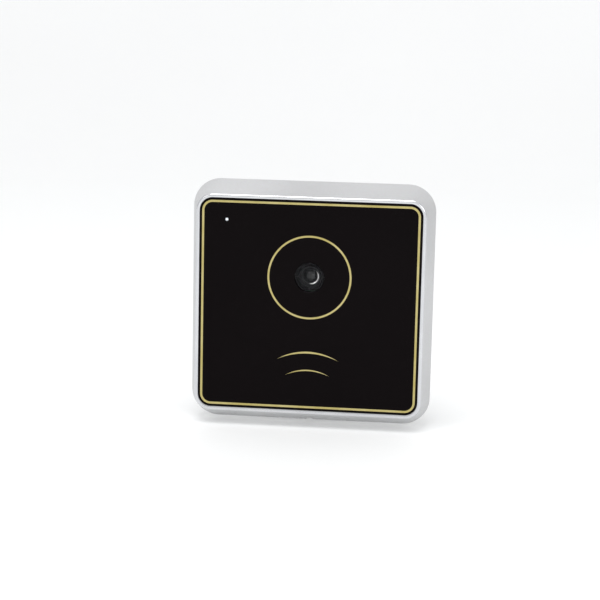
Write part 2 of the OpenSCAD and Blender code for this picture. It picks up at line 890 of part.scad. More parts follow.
// Steel plate with screw slots, hooks along its top edge and a tab for the lock screw
module wall_bracket() {
    opening_top = box_h / 2 + lift + window_gap;
    opening_bottom = box_h / 2 + window_gap;
    color("lightsteelblue") {
        difference() {
            slab(plate_w, plate_h, plate_r, plate_front_y, 0);
            translate([-box_w / 2 - 1, plate_front_y - 1, -opening_bottom])
                cube([box_w + 2, plate_t + 2, opening_top + opening_bottom]);
            for (s = [-1, 1]) {
                along_y(plate_front_y - 1, 1) translate([s * screw_pitch / 2, 0]) screw_slot();
            }
            along_y(plate_front_y - 1, 1) tamper_notch();
        }
        for (s = [-1, 1]) hook(s * hook_x);
        translate([-tab_w / 2, hook_y, -plate_h / 2]) cube([tab_w, -hook_y, plate_t]);
    }
}

module screw_slot() {
    run = (screw_slot_l - screw_slot_w) / 2;
    for (s = [-1, 1]) translate([s * run, 0]) circle(d = screw_slot_w);
    square([2 * run, screw_slot_w], center = true);
}

// Notch beside the box that lets the plunger rise with the unit
module tamper_notch() {
    side = plunger_d / 2 + 1.2;
    translate([box_w / 2, tamper_pos[1] - side])
        square([tamper_pos[0] + side - box_w / 2, lift + 2 * side]);
}

// Forward leg and upright lip at the top edge
module hook(x) {
    translate([x - hook_w / 2, hook_y, hook_top - plate_t]) cube([hook_w, -hook_y, plate_t]);
    translate([x - hook_w / 2, hook_y, hook_top - plate_t]) cube([hook_w, plate_t, plate_t + hook_lip]);
}

// Headless screw that rises under the tab of the bracket
module lock_screw() {
    tip_z = -plate_h / 2 - run_gap;
    color("silver") translate([0, lock_screw_y, tip_z - lock_screw_l]) difference() {
        cylinder(d = lock_screw_d, h = lock_screw_l);
        translate([0, 0, -1]) cylinder(d = 1.7, h = 2.6, $fn = 6);
    }
}

front_frame();
front_panel();
panel_adhesive();
gold_border();
gold_ring();
gold_arcs();
camera_window();
light_pipe();
sensor_adhesive();
sensor_board();
antenna_coil();
ferrite_sheet();
touch_chip();
status_led();
panel_ribbon();
ribbon_connectors();
lens_front_glass();
lens_barrel();
lens_rear_glass();
lens_lock_ring();
lens_holder();
infrared_filter();
image_sensor();
camera_board();
camera_screws();
camera_standoffs();
camera_header();
speaker_basket();
speaker_diaphragm();
speaker_magnet();
speaker_gasket();
speaker_mesh();
microphone();
microphone_boot();
main_board();
board_screws();
processor_chip();
shield_can();
power_coil();
capacitors();
terminal_block();
terminal_contacts();
terminal_lever_1();
terminal_lever_2();
terminal_lever_3();
terminal_lever_4();
program_switch();
program_button();
tamper_switch();
tamper_spring();
tamper_plunger();
rear_housing();
housing_seal();
case_screws();
wall_gasket();
wall_bracket();
lock_screw();
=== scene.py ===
import math

import bmesh
import bpy
from mathutils import Matrix, Vector


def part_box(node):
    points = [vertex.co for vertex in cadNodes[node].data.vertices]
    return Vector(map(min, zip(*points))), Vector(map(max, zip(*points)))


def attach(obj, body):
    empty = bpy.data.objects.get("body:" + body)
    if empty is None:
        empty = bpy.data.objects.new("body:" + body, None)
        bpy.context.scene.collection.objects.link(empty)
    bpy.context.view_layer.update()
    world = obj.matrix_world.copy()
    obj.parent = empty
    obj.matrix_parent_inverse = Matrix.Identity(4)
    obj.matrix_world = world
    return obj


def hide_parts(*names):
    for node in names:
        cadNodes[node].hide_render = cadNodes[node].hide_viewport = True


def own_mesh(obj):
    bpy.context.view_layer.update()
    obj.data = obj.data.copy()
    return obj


# Door intercom panel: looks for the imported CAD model.
# Everything is in metres; the face looks along -Y and +Z is up.

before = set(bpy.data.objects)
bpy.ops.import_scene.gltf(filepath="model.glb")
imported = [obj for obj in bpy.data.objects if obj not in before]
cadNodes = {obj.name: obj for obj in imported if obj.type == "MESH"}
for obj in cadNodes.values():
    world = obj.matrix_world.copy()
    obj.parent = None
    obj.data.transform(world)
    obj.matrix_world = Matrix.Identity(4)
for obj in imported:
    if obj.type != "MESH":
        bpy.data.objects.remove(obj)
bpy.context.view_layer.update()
mm = 0.001
print("loaded", len(cadNodes), "CAD nodes")


def toLinear(hexColour, alpha=1.0):
    # "#RRGGBB" in sRGB to the linear colour that the shaders want
    parts = [int(hexColour[i:i + 2], 16) / 255 for i in (1, 3, 5)]
    linear = [c / 12.92 if c <= 0.04045 else ((c + 0.055) / 1.055) ** 2.4 for c in parts]
    return (*linear, alpha)


def perMm(size):
    # texture scale that gives a pattern about this many millimetres across
    return 1000 / size


def addNode(tree, kind, settings=None, inputs=None):
    # one node with its settings; an input is a value, or another node's output to link
    node = tree.nodes.new(kind)
    for key, value in (settings or {}).items():
        setattr(node, key, value)
    for key, value in (inputs or {}).items():
        if isinstance(value, bpy.types.NodeSocket):
            tree.links.new(value, node.inputs[key])
        else:
            node.inputs[key].default_value = value
    return node


def newMaterial(name, uniform):
    # a material with a Principled shader, its uniform values, and the object's own coordinates
    material = bpy.data.materials.new(name)
    material.use_nodes = True
    tree = material.node_tree
    shader = tree.nodes["Principled BSDF"]
    for key, value in uniform.items():
        shader.inputs[key].default_value = value
    where = addNode(tree, "ShaderNodeTexCoord").outputs["Object"]
    return material, tree, shader, where


noiseSpan = (0.3, 0.7)     # noise seldom leaves this range, so it is stretched from here


def ranged(value, target, span=noiseSpan):
    # inputs that stretch a value from one range to another
    return {"Value": value, "From Min": span[0], "From Max": span[1],
            "To Min": target[0], "To Max": target[1]}


def dress(tree, shader, tone, colours, roughness, height=None, strength=0.3, depthMm=0.01,
          span=noiseSpan, shine=None, shineSpan=noiseSpan):
    # the end that all materials share: colour goes with tone, roughness with shine, and bump with height
    mix = addNode(tree, "ShaderNodeMapRange", inputs=ranged(tone, (0, 1), span))
    base = addNode(tree, "ShaderNodeMix", {"data_type": "RGBA"}, {
        "Factor": mix.outputs["Result"], "A": toLinear(colours[0]), "B": toLinear(colours[1])})
    rough = addNode(tree, "ShaderNodeMapRange", inputs=ranged(shine or tone, roughness, shineSpan))
    tree.links.new(base.outputs["Result"], shader.inputs["Base Color"])
    tree.links.new(rough.outputs["Result"], shader.inputs["Roughness"])
    if height:
        bump = addNode(tree, "ShaderNodeBump", inputs={
            "Height": height, "Strength": strength, "Distance": depthMm * mm})
        tree.links.new(bump.outputs["Normal"], shader.inputs["Normal"])
    return base.outputs["Result"]


def grained(name, look):
    # the plain build: cloudy colour, roughness that varies, and a fine grain in the surface
    material, tree, shader, where = newMaterial(name, look.get("uniform", {}))
    stretch = addNode(tree, "ShaderNodeMapping", inputs={
        "Vector": where, "Scale": look.get("stretch", (1, 1, 1))})
    spot = stretch.outputs["Vector"]
    cloud = addNode(tree, "ShaderNodeTexNoise", inputs={
        "Vector": spot, "Scale": perMm(look["cloudMm"]), "Detail": 3.0})
    kind = look.get("grainKind", "ShaderNodeTexNoise")
    grain = addNode(tree, kind, inputs={"Vector": spot, "Scale": perMm(look["grainMm"])})
    height = grain.outputs["Distance" if kind == "ShaderNodeTexVoronoi" else 0]
    dress(tree, shader, cloud.outputs["Fac"], look["colours"], look["roughness"], height,
          look.get("bump", 0.3), look["bumpMm"])
    return material


# Materials of the front

silverLook = {
    "paint": ("#B8B9BC", "#C3C4C7"),   # aluminium-flake lacquer
    "flakeMm": 0.22,                   # real flake is 0.03 mm, drawn coarser so that it shows
    "flakeShare": 0.18,
    "cloudMm": 30,
    "roughness": (0.40, 0.46),
    "metallic": 0.3,
    "orangePeelMm": 1.6,
}


def silverLacquer():
    # Zinc casting sprayed with silver lacquer: an even satin grey with a faint flake sparkle and orange peel
    look = silverLook
    material, tree, shader, where = newMaterial("sprayedSilverLacquer", {
        "Metallic": look["metallic"], "Coat Weight": 0.06, "Coat Roughness": 0.35})
    cloud = addNode(tree, "ShaderNodeTexNoise", inputs={"Vector": where, "Scale": perMm(look["cloudMm"])})
    flake = addNode(tree, "ShaderNodeTexVoronoi", inputs={"Vector": where, "Scale": perMm(look["flakeMm"])})
    sparkle = addNode(tree, "ShaderNodeSeparateColor", inputs={"Color": flake.outputs["Color"]})
    peel = addNode(tree, "ShaderNodeTexNoise", inputs={"Vector": where, "Scale": perMm(look["orangePeelMm"])})
    base = dress(tree, shader, cloud.outputs["Fac"], look["paint"], look["roughness"], peel.outputs["Fac"],
                 0.12, 0.02, shine=sparkle.outputs["Red"], shineSpan=(0, 1))
    bright = addNode(tree, "ShaderNodeMix", {"data_type": "RGBA", "blend_type": "SOFT_LIGHT"}, {
        "Factor": look["flakeShare"], "A": base, "B": flake.outputs["Color"]})
    grey = addNode(tree, "ShaderNodeHueSaturation", inputs={
        "Color": bright.outputs["Result"], "Saturation": 0.35})
    tree.links.new(grey.outputs["Color"], shader.inputs["Base Color"])
    return material


brightCutLook = {
    "metal": ("#CDCED1", "#D8D9DB"),   # bare metal under clear lacquer
    "cutMm": 0.12,                     # tool marks
    "cloudMm": 12,
    "roughness": (0.16, 0.24),
}


def brightCutLip():
    # Lip turned bright with a diamond tool: mirror-like beside the satin paint, with very fine tool marks
    look = brightCutLook
    material, tree, shader, where = newMaterial("diamondCutLip", {"Metallic": 1.0})
    marks = addNode(tree, "ShaderNodeTexNoise", inputs={
        "Vector": where, "Scale": perMm(look["cutMm"]), "Detail": 2.0})
    wide = addNode(tree, "ShaderNodeTexNoise", inputs={"Vector": where, "Scale": perMm(look["cloudMm"])})
    dress(tree, shader, wide.outputs["Fac"], look["metal"], look["roughness"],
          marks.outputs["Fac"], 0.15, 0.01)
    return material


blackLook = {
    "colours": ("#0B0809", "#0F0B0C"),
    "shine": 0.03,                     # low, so that the pale room does not grey the black
    "roughness": (0.035, 0.07),
    "smearMm": 26,                     # wiped areas, a finger wide
    "waveMm": 60,
}


def pianoBlackAcrylic():
    # Cast acrylic, back-painted black and polished: deep even black under a mirror-smooth face
    look = blackLook
    material, tree, shader, where = newMaterial("polishedBlackAcrylic", {
        "IOR": 1.49, "Specular IOR Level": look["shine"]})
    smear = addNode(tree, "ShaderNodeTexNoise", inputs={
        "Vector": where, "Scale": perMm(look["smearMm"]), "Detail": 4.0, "Distortion": 0.6})
    wave = addNode(tree, "ShaderNodeTexNoise", inputs={"Vector": where, "Scale": perMm(look["waveMm"])})
    dress(tree, shader, smear.outputs["Fac"], look["colours"], look["roughness"], wave.outputs["Fac"],
          0.1, 0.05, span=(0, 1))
    return material


goldLook = {
    "foil": ("#B8AA69", "#C7BB83"),
    "mottleMm": 5,                     # the foil takes unevenly over a few millimetres
    "grainMm": 0.25,
    "roughness": (0.30, 0.42),
}


def stampedGoldFoil():
    # Hot-stamped gold foil: pale satin gold with a slightly uneven shine and a fine crackle
    look = goldLook
    material, tree, shader, where = newMaterial("hotStampedGoldFoil", {"Metallic": 0.85})
    mottle = addNode(tree, "ShaderNodeTexNoise", inputs={
        "Vector": where, "Scale": perMm(look["mottleMm"]), "Detail": 3.0})
    grain = addNode(tree, "ShaderNodeTexNoise", inputs={"Vector": where, "Scale": perMm(look["grainMm"])})
    dress(tree, shader, mottle.outputs["Fac"], look["foil"], look["roughness"],
          grain.outputs["Fac"], 0.2, 0.01)
    return material


def clearGlassy(name, look):
    # thin see-through parts: most of the light passes straight on, the rest shows tint and shine
    uniform = {"IOR": look["ior"], "Specular IOR Level": look["shine"], **look.get("uniform", {})}
    material, tree, shader, where = newMaterial(name, uniform)
    marks = addNode(tree, "ShaderNodeTexNoise", inputs={
        "Vector": where, "Scale": perMm(look["markMm"]), "Detail": 3.0})
    fac = marks.outputs["Fac"]
    dress(tree, shader, fac, look["tints"], look["roughness"], fac, 0.05, 0.01, span=(0, 1))
    dense = addNode(tree, "ShaderNodeMapRange", inputs=ranged(fac, look["density"]))
    tree.links.new(dense.outputs["Result"], shader.inputs["Alpha"])
    return material


clearLooks = {
    # Acrylic disc, laser cut and polished: lightly smoked, so it reads as a dark grey spot
    "polishedClearAcrylic": {
        "ior": 1.49, "shine": 0.15, "tints": ("#2E2E30", "#3A3A3D"), "roughness": (0.03, 0.06),
        "density": (0.1, 0.15), "markMm": 4},
    # Ground lens glass with an anti-reflection coating: dark, with a green-grey flash
    "coatedLensGlass": {
        "ior": 1.60, "shine": 0.5, "tints": ("#0E1313", "#161C1B"), "roughness": (0.02, 0.04),
        "density": (0.5, 0.6), "markMm": 1.5,
        "uniform": {"Coat Weight": 0.3, "Coat Roughness": 0.02, "Coat Tint": toLinear("#DFEAE4")}},
    # Dichroic filter on flat glass: pale cyan
    "dichroicFilterGlass": {
        "ior": 1.52, "shine": 0.5, "tints": ("#6FB4C4", "#8CCBD6"), "roughness": (0.02, 0.05),
        "density": (0.4, 0.5), "markMm": 2},
}

# materials made the common way, named for what each is and how it was made
grainedLooks = {
    # Anodised aluminium, turned: black with a dull metallic sheen
    "turnedBlackAnodised": {
        "colours": ("#141517", "#1D1E20"), "roughness": (0.34, 0.46), "cloudMm": 3, "grainMm": 0.12,
        "bumpMm": 0.01, "uniform": {"Metallic": 0.6}},
    # Glass-filled nylon, moulded: black and dry-looking
    "mouldedBlackNylon": {
        "colours": ("#141415", "#1E1E20"), "roughness": (0.50, 0.62), "cloudMm": 5, "grainMm": 0.2,
        "bumpMm": 0.02, "uniform": {"IOR": 1.53}},
    # ABS from a spark-eroded mould: charcoal with a fine leathery grain, drawn coarser than its real 0.1 mm
    "sparkErodedBlackAbs": {
        "colours": ("#202123", "#2A2B2E"), "roughness": (0.48, 0.60), "cloudMm": 14, "grainMm": 0.45,
        "bumpMm": 0.05, "bump": 0.45, "uniform": {"IOR": 1.54}},
    # EPDM foam, die cut: dark grey, matte, full of tiny open cells
    "dieCutEpdmFoam": {
        "colours": ("#26272A", "#3A3B3E"), "roughness": (0.85, 0.97), "cloudMm": 2.5, "grainMm": 0.5,
        "grainKind": "ShaderNodeTexVoronoi", "bumpMm": 0.12, "bump": 0.7},
    # Silicone rubber, moulded: soft black with a faint bloom
    "mouldedBlackSilicone": {
        "colours": ("#161617", "#222325"), "roughness": (0.62, 0.75), "cloudMm": 3, "grainMm": 0.3,
        "bumpMm": 0.02, "uniform": {"IOR": 1.41, "Sheen Weight": 0.2}},
    # Acrylic foam tape, die cut: mid grey and slightly waxy
    "dieCutFoamTape": {
        "colours": ("#4B4C4F", "#5C5D61"), "roughness": (0.70, 0.85), "cloudMm": 3, "grainMm": 0.3,
        "bumpMm": 0.03},
    # Steel, nickel plated and tumbled: warm grey with soft handling marks
    "nickelPlatedSteel": {
        "colours": ("#B4B0A8", "#C8C5BE"), "roughness": (0.22, 0.36), "cloudMm": 2, "grainMm": 0.3,
        "bumpMm": 0.01, "uniform": {"Metallic": 1.0}},
    # Spring steel strip, polished, coloured near-white all over: a painted highlight for the lens's bright
    # crescent
    "paintedHighlightSpringSteel": {
        "colours": ("#F1F1F0", "#FAFAF9"), "roughness": (0.16, 0.22), "cloudMm": 1.2, "grainMm": 0.1,
        "bumpMm": 0.004, "uniform": {"Metallic": 1.0}},
    # Spring steel wire, drawn: darker, with lines along the wire
    "drawnSpringSteel": {
        "colours": ("#8E8F92", "#A9AAAD"), "roughness": (0.28, 0.40), "cloudMm": 1.5, "grainMm": 0.1,
        "bumpMm": 0.01, "uniform": {"Metallic": 1.0}},
    # Brass, stamped and left bare: yellow with faint brown tarnish
    "stampedBareBrass": {
        "colours": ("#A8894A", "#C9A961"), "roughness": (0.28, 0.44), "cloudMm": 2, "grainMm": 0.25,
        "bumpMm": 0.01, "uniform": {"Metallic": 1.0}},
    # Etched copper under thin varnish: orange-brown, slightly matte
    "etchedCopperTrack": {
        "colours": ("#A9663C", "#BF7C4E"), "roughness": (0.34, 0.48), "cloudMm": 4, "grainMm": 0.3,
        "bumpMm": 0.01, "uniform": {"Metallic": 1.0}},
    # Sintered ferrite sheet: charcoal with a dry granular face
    "sinteredFerriteSheet": {
        "colours": ("#2A2A2C", "#36373A"), "roughness": (0.60, 0.78), "cloudMm": 6, "grainMm": 0.35,
        "bumpMm": 0.03},
    # Epoxy, transfer moulded: black chip body with a fine matte blast
    "mouldedEpoxyChip": {
        "colours": ("#18181A", "#222224"), "roughness": (0.50, 0.64), "cloudMm": 3, "grainMm": 0.2,
        "bumpMm": 0.02},
    # Liquid crystal polymer, moulded: cream connector body with flow lines
    "mouldedCreamPolymer": {
        "colours": ("#D6C9A4", "#E2D8B8"), "roughness": (0.45, 0.58), "cloudMm": 2, "grainMm": 0.25,
        "bumpMm": 0.02, "uniform": {"IOR": 1.6}},
    # Polyester flat cable, laminated: white with fine ribs along each conductor
    "laminatedFlatCable": {
        "colours": ("#E3E2DC", "#F0EFEA"), "roughness": (0.28, 0.38), "cloudMm": 4, "grainMm": 0.5,
        "stretch": (1, 0.05, 0.05), "bumpMm": 0.05, "uniform": {"IOR": 1.58}},
    # Tin-plated steel can, deep drawn: bright grey with faint draw lines
    "drawnTinnedCan": {
        "colours": ("#B9BABB", "#CFD0D0"), "roughness": (0.26, 0.38), "cloudMm": 5, "grainMm": 0.4,
        "stretch": (1, 1, 0.15), "bumpMm": 0.01, "uniform": {"Metallic": 1.0}},
    # Polyester film, thermoformed: grey translucent cone with a satin skin
    "formedPolyesterFilm": {
        "colours": ("#5A5C60", "#6E7075"), "roughness": (0.24, 0.34), "cloudMm": 3, "grainMm": 0.6,
        "bumpMm": 0.02, "uniform": {"IOR": 1.64}},
    # Polyester mesh, woven: black cloth with a thread every third of a millimetre
    "wovenBlackMesh": {
        "colours": ("#101011", "#202022"), "roughness": (0.75, 0.9), "cloudMm": 1.2, "grainMm": 0.33,
        "grainKind": "ShaderNodeTexVoronoi", "bumpMm": 0.1, "bump": 0.6},
    # PBT, moulded: leaf green terminal body, satin, with slight flow marks
    "mouldedGreenPbt": {
        "colours": ("#2F8A4A", "#3C9A57"), "roughness": (0.36, 0.48), "cloudMm": 4, "grainMm": 0.35,
        "bumpMm": 0.02, "uniform": {"IOR": 1.58}},
    # PBT, moulded in a signal colour: orange levers, satin
    "mouldedOrangePbt": {
        "colours": ("#D2591B", "#E16A28"), "roughness": (0.34, 0.46), "cloudMm": 2, "grainMm": 0.3,
        "bumpMm": 0.02, "uniform": {"IOR": 1.58}},
    # Acetal, moulded: off-white, waxy and slightly translucent
    "mouldedWhiteAcetal": {
        "colours": ("#DEDCD4", "#E9E7E0"), "roughness": (0.32, 0.42), "cloudMm": 3, "grainMm": 0.4,
        "bumpMm": 0.01, "uniform": {
            "IOR": 1.48, "Subsurface Weight": 0.15, "Subsurface Radius": (0.6 * mm, 0.5 * mm, 0.4 * mm)}},
    # LED package: white moulded reflector
    "mouldedWhiteLed": {
        "colours": ("#E9E7DE", "#F4F2EA"), "roughness": (0.30, 0.42), "cloudMm": 1, "grainMm": 0.2,
        "bumpMm": 0.01},
}


zincLook = {
    "colours": ("#A9ADB2", "#BCC0C4"),
    "spangleMm": 2.4,                  # zinc crystals, each with its own tone
    "roughness": (0.30, 0.48),
    "rollMm": 0.35,                    # rolling lines, drawn coarser than real so that they show
}


def galvanisedSheet():
    # Steel sheet, hot-dip galvanised and pressed: cool grey patchwork of crystals over faint rolling lines
    look = zincLook
    material, tree, shader, where = newMaterial("galvanisedPressedSteel", {"Metallic": 1.0})
    cells = addNode(tree, "ShaderNodeTexVoronoi", inputs={"Vector": where, "Scale": perMm(look["spangleMm"])})
    tone = addNode(tree, "ShaderNodeSeparateColor", inputs={"Color": cells.outputs["Color"]})
    along = addNode(tree, "ShaderNodeMapping", inputs={"Vector": where, "Scale": (1, 1, 0.04)})
    lines = addNode(tree, "ShaderNodeTexNoise", inputs={
        "Vector": along.outputs["Vector"], "Scale": perMm(look["rollMm"])})
    dress(tree, shader, tone.outputs["Red"], look["colours"], look["roughness"], lines.outputs["Fac"],
          0.25, 0.02, span=(0, 1), shine=tone.outputs["Green"], shineSpan=(0, 1))
    return material


boardLook = {
    "mask": ("#0E3D20", "#1C6A38"),    # green over glass laminate, lighter over copper
    "trackMm": 2.2,                    # distance between tracks
    "cloudMm": 6,
    "roughness": (0.28, 0.40),
}


def solderMaskBoard():
    # Glass-epoxy board with green solder mask: tracks show as lighter, slightly raised lines
    look = boardLook
    material, tree, shader, where = newMaterial("solderMaskedBoard", {"IOR": 1.55})
    tracks = addNode(tree, "ShaderNodeTexBrick", {"offset": 0.5, "squash": 1.0}, {
        "Vector": where, "Scale": perMm(look["trackMm"]), "Mortar Size": 0.06,
        "Color1": (0, 0, 0, 1), "Color2": (0, 0, 0, 1), "Mortar": (1, 1, 1, 1)})
    cloud = addNode(tree, "ShaderNodeTexNoise", inputs={"Vector": where, "Scale": perMm(look["cloudMm"])})
    dress(tree, shader, tracks.outputs["Color"], look["mask"], look["roughness"], tracks.outputs["Color"],
          0.4, 0.03, span=(0, 1), shine=cloud.outputs["Fac"])
    return material


# the status light's emission is a painted highlight for the white glint on its frosted end
lightLook = {
    "body": ("#7E8387", "#A6ABAF"),
    "paintedGlint": "#F6F9FF",
    "glintCore": 0.32,                      # bright part of the end, in millimetres from its middle
    "strength": 1.6,
    "rim": 0.02,
    "frostMm": 0.3,
    "roughness": (0.35, 0.5),
}


def frostedLightPipeGlint(middle):
    # Polycarbonate light pipe with a frosted end: a white point that fades towards its rim, its emission a
    # painted highlight for the glint on the end
    look = lightLook
    material, tree, shader, where = newMaterial("frostedPolycarbonateGlint", {
        "IOR": 1.58, "Emission Color": toLinear(look["paintedGlint"])})
    frost = addNode(tree, "ShaderNodeTexNoise", inputs={"Vector": where, "Scale": perMm(look["frostMm"])})
    fac = frost.outputs["Fac"]
    dress(tree, shader, fac, look["body"], look["roughness"], fac, 0.3, 0.02, span=(0, 1))
    away = addNode(tree, "ShaderNodeVectorMath", {"operation": "DISTANCE"}, {0: where, 1: middle})
    fade = (look["glintCore"] * 0.4 * mm, look["glintCore"] * 1.3 * mm)
    paintedGlint = addNode(tree, "ShaderNodeMapRange", inputs=ranged(
        away.outputs["Value"], (look["strength"], look["rim"]), fade))
    tree.links.new(paintedGlint.outputs["Result"], shader.inputs["Emission Strength"])
    return material


pipeLow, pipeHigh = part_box("light_pipe")
pipeTip = ((pipeLow[0] + pipeHigh[0]) / 2, pipeLow[1], (pipeLow[2] + pipeHigh[2]) / 2)
made = {
    "silver": silverLacquer(),
    "lip": brightCutLip(),
    "black": pianoBlackAcrylic(),
    "gold": stampedGoldFoil(),
    "zinc": galvanisedSheet(),
    "board": solderMaskBoard(),
    "light": frostedLightPipeGlint(pipeTip),
}
for name, look in clearLooks.items():
    made[name] = clearGlassy(name, look)
for name, look in grainedLooks.items():
    made[name] = grained(name, look)
print("made", len(made), "materials")

# CAD nodes that stay, each with its finish

nodeFinish = {
    "panel_adhesive": "dieCutFoamTape",
    "sensor_adhesive": "dieCutFoamTape",
    "sensor_board": "board",
    "antenna_coil": "etchedCopperTrack",
    "ferrite_sheet": "sinteredFerriteSheet",
    "touch_chip": "mouldedEpoxyChip",
    "status_led": "mouldedWhiteLed",
    "panel_ribbon": "laminatedFlatCable",
    "ribbon_connectors": "mouldedCreamPolymer",
    "lens_rear_glass": "coatedLensGlass",
    "lens_lock_ring": "turnedBlackAnodised",
    "lens_holder": "mouldedBlackNylon",
    "infrared_filter": "dichroicFilterGlass",
    "image_sensor": "mouldedEpoxyChip",
    "camera_board": "board",
    "camera_screws": "nickelPlatedSteel",
    "camera_standoffs": "stampedBareBrass",
    "camera_header": "mouldedEpoxyChip",
    "speaker_basket": "mouldedBlackNylon",
    "speaker_diaphragm": "formedPolyesterFilm",
    "speaker_magnet": "nickelPlatedSteel",
    "speaker_gasket": "dieCutEpdmFoam",
    "speaker_mesh": "wovenBlackMesh",
    "microphone": "drawnTinnedCan",
    "microphone_boot": "mouldedBlackSilicone",
    "main_board": "board",
    "board_screws": "nickelPlatedSteel",
    "processor_chip": "mouldedEpoxyChip",
    "shield_can": "drawnTinnedCan",
    "power_coil": "sinteredFerriteSheet",
    "capacitors": "drawnTinnedCan",
    "terminal_contacts": "stampedBareBrass",
    "program_switch": "mouldedEpoxyChip",
    "tamper_switch": "mouldedBlackNylon",
    "housing_seal": "mouldedBlackSilicone",
    "case_screws": "nickelPlatedSteel",
}


def paint(obj, material):
    # one material on every slot of an object
    if not obj.material_slots:
        obj.data.materials.append(material)
    for holder in obj.material_slots:
        holder.material = material


for node, finish in nodeFinish.items():
    paint(cadNodes[node], made[finish])
print("finished", len(nodeFinish), "CAD nodes")

# Mesh helpers, with sizes in millimetres


def finishMesh(bm, name, materials, sharpDegrees=35):
    # turns a bmesh in millimetres into an object in metres, smooth except at sharp edges
    bmesh.ops.recalc_face_normals(bm, faces=bm.faces)
    mesh = bpy.data.meshes.new(name)
    bm.to_mesh(mesh)
    bm.free()
    mesh.transform(Matrix.Scale(mm, 4))
    for material in materials:
        mesh.materials.append(material)
    mesh.shade_smooth()
    mesh.set_sharp_from_angle(angle=math.radians(sharpDegrees))
    obj = bpy.data.objects.new(name, mesh)
    bpy.context.scene.collection.objects.link(obj)
    return obj


def place(obj, body, slotName, *replaced):
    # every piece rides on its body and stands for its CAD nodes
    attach(obj, body)
    if replaced:
        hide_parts(*replaced)


def roundedOutline(halfW, halfH, radius, y, arcSteps=14):
    # closed outline with round corners, and extra points beside each corner so that flats stay flat
    points = []
    corners = [(1, 1, 0), (-1, 1, 90), (-1, -1, 180), (1, -1, 270)]
    for sx, sz, start in corners:
        cx = sx * (halfW - radius)
        cz = sz * (halfH - radius)
        for i in range(arcSteps + 1):
            a = math.radians(start + 90 * i / arcSteps)
            points.append(Vector((cx + radius * math.cos(a), y, cz + radius * math.sin(a))))
    full = []
    for i, p in enumerate(points):
        q = points[(i + 1) % len(points)]
        full.append(p)
        if (i + 1) % (arcSteps + 1) == 0:
            step = (q - p).normalized() * 0.6
            full.extend([p + step, p.lerp(q, 0.5), q - step])
    return full


def circleOutline(radius, y, centre=(0, 0), steps=96):
    turn = 2 * math.pi / steps
    return [Vector((centre[0] + radius * math.cos(i * turn), y, centre[1] + radius * math.sin(i * turn)))
            for i in range(steps)]


def loft(bm, outlines, closed=False, capped=False, materialAt=None):
    # skins a run of outlines with equally many points, joined into a loop or with both ends capped
    rings = [[bm.verts.new(p) for p in outline] for outline in outlines]
    pairs = list(zip(rings, rings[1:]))
    if closed:
        pairs.append((rings[-1], rings[0]))
    for n, (a, b) in enumerate(pairs):
        for i in range(len(a)):
            j = (i + 1) % len(a)
            face = bm.faces.new((a[i], a[j], b[j], b[i]))
            face.material_index = materialAt(n) if materialAt else 0
    if capped:
        bm.faces.new(rings[0])
        bm.faces.new(rings[-1])


def revolve(profile, centre, steps=96):
    # solid from (radius, y) pairs, turned about an axis along Y through centre (x, z)
    bm = bmesh.new()
    loft(bm, [circleOutline(r, y, centre, steps) for r, y in profile], capped=True)
    return bm


def boxMm(node):
    low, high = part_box(node)
    return low / mm, high / mm


def cutAway(obj, cutters):
    # cuts holes with other meshes, then removes those
    for cutter in cutters:
        step = obj.modifiers.new("cut", "BOOLEAN")
        step.operation = "DIFFERENCE"
        step.solver = "EXACT"
        step.object = cutter
    shaped = bpy.data.meshes.new_from_object(obj.evaluated_get(bpy.context.evaluated_depsgraph_get()))
    obj.modifiers.clear()
    obj.data = shaped
    for cutter in cutters:
        bpy.data.objects.remove(cutter)
    shaped.shade_smooth()
    shaped.set_sharp_from_angle(angle=math.radians(35))


# Silver frame

frameShape = {
    "lipWidth": 1.2,
    "lipCrown": 0.12,          # how much the lip falls towards the panel
    "lipFall": 0.3,            # how much it falls towards the side
    "recessRadius": 4.6,
    "sideFlare": 2.7,
    "endFlare": 4.4,
    "backRadius": 9.8,
    "backRound": 1.0,
    "backWall": 3.7,
    "chamber": (33.0, 32.0, 4.0),
    "ductWidth": 8.0,
    "ductHeight": 0.9,
    "ductStep": 11.0,
    "ductRound": 0.3,
    "micHole": 1.2,
    "screwHole": 3.2,
    "catchWidth": 15.0,        # bars that hang on the bracket's two hooks
    "catchAt": 20.0,
    "catchThick": 1.2,
    "catchBack": 0.5,          # from the back edge of the frame to the bar
    "catchBottom": 36.1,
    "catchRound": 0.35,
}


def lipSection(shape, lipY, steps=10):
    # (distance out from the recess, y) across the crowned lip
    points = []
    for i in range(steps + 1):
        t = i / steps
        fall = shape["lipCrown"] if t < 0.5 else shape["lipFall"]
        points.append((shape["lipWidth"] * t, lipY + fall * (2 * t - 1) ** 2))
    return points


